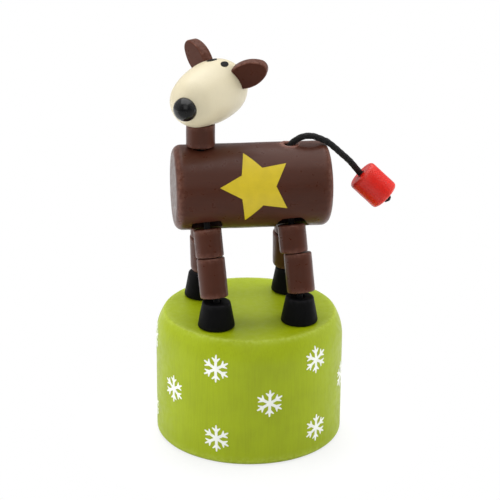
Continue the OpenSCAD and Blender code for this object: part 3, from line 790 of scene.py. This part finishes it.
def make_button():
    """The spring and the knots. The button itself keeps its solid."""
    low, high = BUTTON_TOP + SPRING_GAP + WIRE_R, HOLLOW_H - SPRING_GAP - WIRE_R
    steps = 48
    line = []
    for i in range(SPRING_TURNS * steps + 1):
        t = i / steps
        # The first and the last turn rise half as fast as the others.
        share = (t - min(t, 1) * 0.5 - max(0, t - SPRING_TURNS + 1) * 0.5) / (SPRING_TURNS - 1)
        a = 2 * pi * t
        line.append(Vector((SPRING_R * cos(a), SPRING_R * sin(a), low + (high - low) * share)))
    spring = piece("spring_coil", tube(line, 12, lambda s, a: WIRE_R), IN_PLACE, "base",
                   steel_finish("spring_wire", 6.0), "spring", sharp=60)
    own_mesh(spring)
    for i, (name, (hoof, *_)) in enumerate(LEGS.items()):
        shape = tied_knot(reach=1.6, half=1.0, strand=0.55, flat=1.0)
        piece(f"knot_{name}", shape, at((*hoof, KNOT_Z), turn("Z", 40 * i)), "button",
                           cord_finish(f"knot_{name}", 7.0 + i), sharp=180)
    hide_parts("cord_knots")


# Legs

def side_of(name):
    return -1 if name.endswith("left") else 1


def leg_turn(side):
    return turn("Y", -LEAN) @ turn("X", side * SPLAY)


def leg_axis(side):
    return leg_turn(side).to_3x3() @ Vector((0, 0, 1))


def make_legs():
    for i, (name, (hoof, ankle, knee, hip)) in enumerate(LEGS.items()):
        make_hoof(i, name, hoof)
        for bead, place, length, seed in (("shin", ankle, SHIN_L, 30), ("thigh", knee, THIGH_L, 40)):
            node = f"{bead}_{name}"
            piece(f"{node}_turned", turned_bead(LEG_R, length, BEAD_ROUND, BORE_R, seed + i),
                  at(place, leg_turn(side_of(name)) @ turn("Z", 67 * i)), node, brown(node, seed + i),
                  node, wear_and_light=bead_rims(LEG_R, length))
        make_leg_cord(i, name, hoof, Vector(ankle), Vector(knee), Vector(hip))


def make_hoof(i, name, hoof):
    line = [(BORE_R + BORE_BEVEL, 0)] + arc(HOOF_R - HOOF_ROUND, HOOF_ROUND, HOOF_ROUND, -90, 0, 8)
    line += arc(HOOF_TOP_R - HOOF_TOP_ROUND, HOOF_H - HOOF_TOP_ROUND, HOOF_TOP_ROUND, 10, 90, 8)
    line += [(BORE_R + 0.2, HOOF_H), (BORE_R, HOOF_H - 0.2), (BORE_R, BORE_BEVEL)]
    black = paint(f"hoof_{name}", BLACK, 20.0 + i, rough=0.5, tone=0.12, streak=0.1, edge=BLACK_EDGE,
                  edge_amount=0.4, specks=0.1, shine=0.08)
    shape = uneven(lathe(refine(line, step=0.9, closed=True), 96, ring=True), 20 + i)
    piece(f"hoof_{name}_turned", shape, at((*hoof, BASE_H)), "base", black, f"hoof_{name}",
          wear_and_light=rims((HOOF_TOP_R, HOOF_H - 0.1, 0.5), (HOOF_R, 0.1, 0.5)))


def make_leg_cord(i, name, hoof, ankle, knee, hip):
    """One leg's cord, in stretches: one across each joint, and parted at the three open hips."""
    shin, thigh = f"shin_{name}", f"thigh_{name}"
    up, axis = Vector((0, 0, 1)), leg_axis(side_of(name))
    foot, shin_top = Vector((*hoof, BASE_H + HOOF_H)), ankle + SHIN_L * axis
    # The run of cord rises with the button, so it ends low enough to stay in the hoof.
    stub(f"run_cord_{name}_drawn", Vector((*hoof, KNOT_ROOF)), foot - RUN_DROP * up, "button", 80 + i,
         f"run_cord_{name}")
    string(f"ankle_string_{name}", [foot - STRING_DROP * up, foot, ankle + 0.1 * axis, ankle + 2.2 * axis],
           50 + i)
    string(f"knee_string_{name}", [shin_top - 2 * axis, shin_top, knee, knee + 2 * axis],
           60 + i)
    if name == "front_left":
        string(f"hip_string_{name}", [hip - 2.2 * axis, hip, hip + 0.3 * axis, hip + 2.4 * axis],
               70 + i)
    else:
        stub(f"hip_string_{name}_low", hip - 1.5 * axis, hip + 2.0 * axis, thigh, 70 + i)
        stub(f"hip_string_{name}_high", hip + 2.2 * axis, hip - 2.0 * axis, "barrel", 75 + i)


def string(name, line, seed):
    """Stretch of cord along a smooth line through the gap between two pieces."""
    shape = tube(smooth_line(line, step=0.2), 20, lambda s, t: CORD_R)
    obj = piece(name, shape, IN_PLACE, None, cord_finish(name, seed), sharp=70)
    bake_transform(obj)


def stub(name, a, b, body, seed, stands_for=None):
    """End of a cord with a round tip, from a to b."""
    steps = 12
    total = (b - a).length

    def rounded(s, t):
        past = max(0.0, (s - total + CORD_R) / CORD_R)
        return CORD_R * sqrt(max(0.02, 1 - past ** 2))

    shape = tube([a + (b - a) * i / steps for i in range(steps + 1)], 20, rounded)
    piece(name, shape, IN_PLACE, body, cord_finish(name, seed), stands_for, sharp=70)


# Body

# The barrel is turned about Z from its head end. LYING lays it along X about its middle, in millimetres, and
# STAND brings what lies so to its place. TAIL_HOLE points along the tail's hole, in the turned barrel.
LYING = Matrix.Translation((-BARREL_L / 2, 0, 0)) @ turn("Y", 90)
STAND = at((0, 0, BARREL_Z), turn("Z", -BARREL_YAW))
TAIL_HOLE = LYING.inverted() @ Matrix.Translation((TAIL_X, 0, 0)) @ turn("X", TAIL_ROLL)


def barrel_cutters():
    """Forms taken out of the barrel: tail hole, neck well, and each leg's bore and flared socket."""
    # From the puppet's own millimetres into the barrel's.
    inward = (Matrix.Translation((0, 0, BARREL_Z)) @ turn("Z", -BARREL_YAW) @ LYING).inverted()
    deep, brim = BARREL_R * (1 - TAIL_HOLE_SHARE), BARREL_R + 0.6
    tail = lathe([(0, deep), (TAIL_HOLE_R, deep), (TAIL_HOLE_R, BARREL_R - 0.5), (TAIL_SINK_R + 0.35, brim),
                  (0, brim)], 64, ring=False)
    meet_z = BARREL_Z + MEET_RISE * BARREL_R
    well = rod((NECK_X, 0, meet_z), (NECK_X, 0, BARREL_Z + BARREL_R + 2), NECK_WELL_R)
    cutters = [moved(tail, TAIL_HOLE), moved(well, inward)]
    flare = THIGH_L / 2
    socket = lathe([(0, -flare), (SOCKET_R + flare, -flare), (SOCKET_R, 0), (SOCKET_R, SOCKET_L),
                    (0, SOCKET_L)], 96, ring=False)
    for name, (*_, hip) in LEGS.items():
        side = side_of(name)
        x, y = (NECK_X, FRONT_MEET_Y) if "front" in name else (TAIL_X, HIND_MEET_Y)
        start = Vector(hip) + 0.2 * leg_axis(side)
        way = (Vector((x, y * side, meet_z)) - start).normalized()
        cutters.append(moved(rod(start - 3 * way, start + 9 * way, BORE_R), inward))
        cutters.append(moved(socket, inward @ Matrix.Translation(hip) @ leg_turn(side)))
    return cutters


def make_barrel():
    edge = BARREL_ROUND
    line = [(0, 0)] + arc(BARREL_R - edge, edge, edge, -90, 0, 12)
    line += arc(BARREL_R - edge, BARREL_L - edge, edge, 0, 90, 12) + [(0, BARREL_L)]
    ends = rims((BARREL_R - 0.4, 0.4, 1.3), (BARREL_R - 0.4, BARREL_L - 0.4, 1.3))
    to_hole = TAIL_HOLE.inverted()

    def wear_and_light(p):
        # Painted shade: below zero inside the leg sockets, which darkens the paint there.
        depth = BARREL_R - 0.15 - hypot(p[0], p[1])
        if depth > 0 and edge < p[2] < BARREL_L - edge:
            return -min(1.0, depth / 0.8)
        # Lighter ring just round the tail hole: rubbed paint, partly a painted highlight on the hole's rim.
        q = to_hole @ Vector(p)
        near = exp(-((hypot(q.x, q.y) - 2.9) / 0.3) ** 2) if q.z > 0 else 0.0
        return max(ends(p), 0.7 * near)

    shape = uneven(lathe(refine(line, step=0.8), 224, ring=False), 8, amount=0.06, size=7)
    place = STAND @ at((-BARREL_L / 2, 0, 0), turn("Y", 90))
    piece("barrel_turned", shape, place, "barrel", brown("barrel", 8.0), "barrel", wear_and_light=wear_and_light,
          cutters=barrel_cutters(), sharp=32)


def make_tail_lip():
    """Raised, slightly wavy lip of the tail hole, bent to the barrel's round."""
    points, faces = lathe(LIP_PROFILE, 96, ring=True)
    bent = []
    for x, y, height in points:
        a = atan2(y, x)
        if height > 0:
            height *= 1 + 0.14 * sin(3 * a + 1) + 0.06 * sin(7 * a)
        r, across = BARREL_R + height, y / BARREL_R
        bent.append((x, r * sin(across), r * cos(across)))
    # The lip's lighter brown and its rubbed edge colour are partly a painted highlight on the raised ridge.
    pale = paint("tail_lip", LIP_HIGHLIT_BROWN, 9.0, rough=0.33, edge=BROWN_EDGE, relief=0.5)
    lip = moved((bent, faces), turn("X", TAIL_ROLL))
    piece("tail_hole_lip", lip, STAND @ at((TAIL_X, 0, 0)), "barrel", pale, wear_and_light=lambda p: 0.8,
          sharp=60)


def make_stars():
    """Printed star on each flank, one tip toward the head."""
    gold = print_paint("star_yellow", YELLOW, BROWN, 10.0, loss=0.55, pits=0.8)
    outline = []
    for k in range(10):
        r = STAR_R if k % 2 == 0 else STAR_NOTCH_R
        a = radians(180 + 36 * k)
        outline.append((STAR_LONG * r * cos(a), STAR_TALL * r * sin(a)))
    for name, flank in (("star_left", -1), ("star_right", 1)):
        def lay(u, v, height, flank=flank):
            a = radians(STAR_RISE) + v / BARREL_R
            r = BARREL_R + height
            return (STAR_X + u, flank * r * cos(a), r * sin(a))

        shape = inlay(outline, lay, high=0.075, low=-0.1, grid=0.9)
        piece(name, shape, STAND, "barrel", gold, sharp=30)


def make_neck():
    piece("neck_turned", turned_bead(NECK_R, NECK_L, BEAD_ROUND, PAIR_BORE_R, 11), at((NECK_X, 0, NECK_LOW)),
          "neck", brown("neck", 11.0), "neck", wear_and_light=bead_rims(NECK_R, NECK_L))
    for side, name in ((-1, "left"), (1, "right")):
        def on_cord(z, side=side):
            return Vector((NECK_X, side * CORD_OFF, z))

        for part, a, b, low, high, seed in (
            ("neck_string", "barrel", "neck", NECK_LOW, NECK_LOW, 80),
            ("head_string", "head_swivel", "head", NECK_TOP, SEAT_Z, 84),
        ):
            string(f"{part}_{name}", [on_cord(low - 2.2), on_cord(low), on_cord(high + 2.2)],
                   seed + side)


# Head

# It is turned about X, muzzle first, about its own middle. ON_HEAD is its place in millimetres.
ON_HEAD = (Matrix.Translation((NECK_X, 0, SEAT_Z)) @ turn("Z", 180 + HEAD_TURN)
           @ Matrix.Translation((-HEAD_BACK, 0, HEAD_RISE)) @ turn("Y", HEAD_PITCH) @ turn("X", -HEAD_ROLL))
HEAD_PLACE = ON_HEAD.copy()
HEAD_PLACE.translation = ON_HEAD.translation * MM
# Middle of the long arc of the cheek, and the angles where it runs into the nape and the muzzle.
CHEEK_Y = ((CHEEK_R - NAPE_R) ** 2 - (CHEEK_R - MUZZLE_R) ** 2) / (2 * HEAD_SPAN)
CHEEK_X = -sqrt((CHEEK_R - NAPE_R) ** 2 - (HEAD_SPAN / 2 + CHEEK_Y) ** 2)
CHEEK_START = atan2(-HEAD_SPAN / 2 - CHEEK_Y, -CHEEK_X)
CHEEK_END = atan2(HEAD_SPAN / 2 - CHEEK_Y, -CHEEK_X)


def head_radius(x):
    if x < CHEEK_Y + CHEEK_R * sin(CHEEK_START):
        return sqrt(max(0.0, NAPE_R ** 2 - (x + HEAD_SPAN / 2) ** 2))
    if x > CHEEK_Y + CHEEK_R * sin(CHEEK_END):
        return sqrt(max(0.0, MUZZLE_R ** 2 - (x - HEAD_SPAN / 2) ** 2))
    return CHEEK_X + sqrt(CHEEK_R ** 2 - (x - CHEEK_Y) ** 2)


def ear_outline(inset):
    """Flat outline of an ear along X, drawn in from its edge: curved sides and a round tip."""
    wide, reach = 0.43 * EAR_L, EAR_L - EAR_TIP_R
    side_r = ((EAR_W / 2) ** 2 + (reach - wide) ** 2 - EAR_TIP_R ** 2) / (EAR_W - 2 * EAR_TIP_R)
    off = side_r - EAR_W / 2
    meet = degrees(atan2(off, reach - wide))
    root = degrees(asin(wide / (side_r - inset)))
    line = arc(wide, off, side_r - inset, -90 - root, -meet, 16)
    line += arc(reach, 0, EAR_TIP_R - inset, -meet, meet, 28)[1:-1]
    return line + arc(wide, -off, side_r - inset, meet, 90 + root, 16)


def ear_shape():
    """Thick slab with rounded edges. It stands along X, with Y across and Z through it."""
    edge, half = 0.5, EAR_T / 2
    bevel = [(edge * (1 - sin(radians(a))), half - edge * (1 - cos(radians(a))))
             for a in range(0, 91, 15)]
    layers = [(edge + 0.2, -half)] + [(i, -z) for i, z in bevel]
    layers += [(i, z) for i, z in reversed(bevel)] + [(edge + 0.2, half)]
    points = [(x, y, z) for inset, z in layers for x, y in ear_outline(inset)]
    count = len(points) // len(layers)
    faces = bands(len(layers), count)
    for row, z in ((0, -half), (len(layers) - 1, half)):
        last = [row * count + k for k in range(count)]
        for share in (0.7, 0.35):
            first = len(points)
            points += [(EAR_L / 2 + (points[i][0] - EAR_L / 2) * share, points[i][1] * share, z)
                       for i in range(row * count, row * count + count)]
            new = list(range(first, first + count))
            faces += [(last[k], last[(k + 1) % count], new[(k + 1) % count], new[k]) for k in range(count)]
            last = new
        points.append((EAR_L / 2, 0.0, z))
        faces += [(last[k], last[(k + 1) % count], len(points) - 1) for k in range(count)]
    return points, faces


def make_head():
    first, last = degrees(CHEEK_START), degrees(CHEEK_END)
    line = [(0, -HEAD_SPAN / 2 - NAPE_R)] + arc(0, -HEAD_SPAN / 2, NAPE_R, -86, first, 30)
    line += arc(CHEEK_X, CHEEK_Y, CHEEK_R, first, last, 14)[1:]
    line += arc(0, HEAD_SPAN / 2, MUZZLE_R, last, 86, 30)[1:] + [(0, HEAD_SPAN / 2 + MUZZLE_R)]
    egg = moved(uneven(lathe(line, 160, ring=False), 12, amount=0.05, size=5), turn("Y", 90))
    back = ON_HEAD.inverted()
    seat = rod((NECK_X, 0, SEAT_Z - 4), (NECK_X, 0, SEAT_Z), SEAT_R)
    bore = rod((NECK_X, 0, SEAT_Z - 1), (NECK_X, 0, SEAT_Z + 8), PAIR_BORE_R)
    cream = paint("head_cream", CREAM, 12.0, rough=0.36, tone=0.025, streak=0.02, specks=0.12,
                  speck_rgb=CREAM_NIB, coat=0.12)
    piece("head_turned", egg, HEAD_PLACE, "head", cream, "head",
          cutters=[moved(seat, back), moved(bore, back)], sharp=32)

    ball = lathe([(0, -NOSE_R)] + arc(0, 0, NOSE_R, -84, 84, 40) + [(0, NOSE_R)], 96, ring=False)
    place = HEAD_PLACE @ at((NOSE_OUT, NOSE_SIDE, 0), turn("Y", 90))
    black = paint("nose_black", BLACK, 13.0, rough=0.26, tone=0.1, streak=0.05, specks=0.1, coat=0.3)
    piece("nose_ball", uneven(ball, 13, size=2), place, "head", black, "nose", sharp=180)


def make_ears():
    for side, name in ((1, "left"), (-1, "right")):
        root = Vector((-HEAD_SPAN / 2, 0, 0)) + Vector(EAR_ROOTS[name])
        slab = (Matrix.Scale(side, 4, (0, 1, 0)) @ Matrix.Translation(root) @ turn("Z", EAR_SWEEP)
                @ turn("X", EAR_RISE) @ turn("Z", 90) @ turn("X", 90))

        def wear_and_light(p, flat=slab.inverted()):
            z = abs((flat @ Vector(p)).z)
            return exp(-((z - EAR_T / 2 + 0.2) / 0.35) ** 2) if z < EAR_T / 2 - 0.02 else 0.0

        piece(f"ear_{name}_cut", moved(ear_shape(), slab), HEAD_PLACE, "head",
              brown(f"ear_{name}", 14.0 + side, shine=0.14, edge_amount=0.8), f"ear_{name}",
              wear_and_light=wear_and_light, sharp=50)


def make_eyes():
    """Painted ovals that follow the head's round."""
    black = paint("eye_black", EYE_BLACK, 16.0, rough=0.42, tone=0.1, streak=0.02, shine=0.2)
    c, s = cos(EYE_TILT), sin(EYE_TILT)
    steps, nearby = 48, 0.05
    ring = []
    for i in range(steps):
        t = 2 * pi * i / steps
        u, v = EYE_LONG * cos(t), EYE_SHORT * sin(t)
        ring.append((u * c - v * s, u * s + v * c))
    for side, name in ((1, "left"), (-1, "right")):
        def lay(u, v, height, side=side):
            x = EYE_X + u
            r = head_radius(x)
            a = EYE_ROUND - v / EYE_R
            slope = (head_radius(x + nearby) - head_radius(x - nearby)) / (2 * nearby)
            out = Vector((-slope, cos(a), sin(a))).normalized()
            p = Vector((x, r * cos(a), r * sin(a))) + height * out
            return (p.x, side * p.y, p.z)

        shape = inlay(ring, lay, high=0.085, low=-0.1, grid=0.45)
        piece(f"eye_{name}", shape, HEAD_PLACE, "head", black, sharp=30)


def dress_inner_nodes():
    """Finishes for the inner pieces that keep their solids."""
    bare = wood_finish("bare_wood", 17.0)
    black = cord_finish("inner_cord", 18.0)
    for name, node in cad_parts.items():
        if node.hide_render:
            continue
        node.data.materials.clear()
        node.data.materials.append(bare if name in ("button", "head_peg") else black)


set_stage()
make_tail()
make_drum()
make_snowflakes()
make_button()
make_legs()
make_barrel()
make_tail_lip()
make_stars()
make_neck()
make_head()
make_ears()
make_eyes()
dress_inner_nodes()
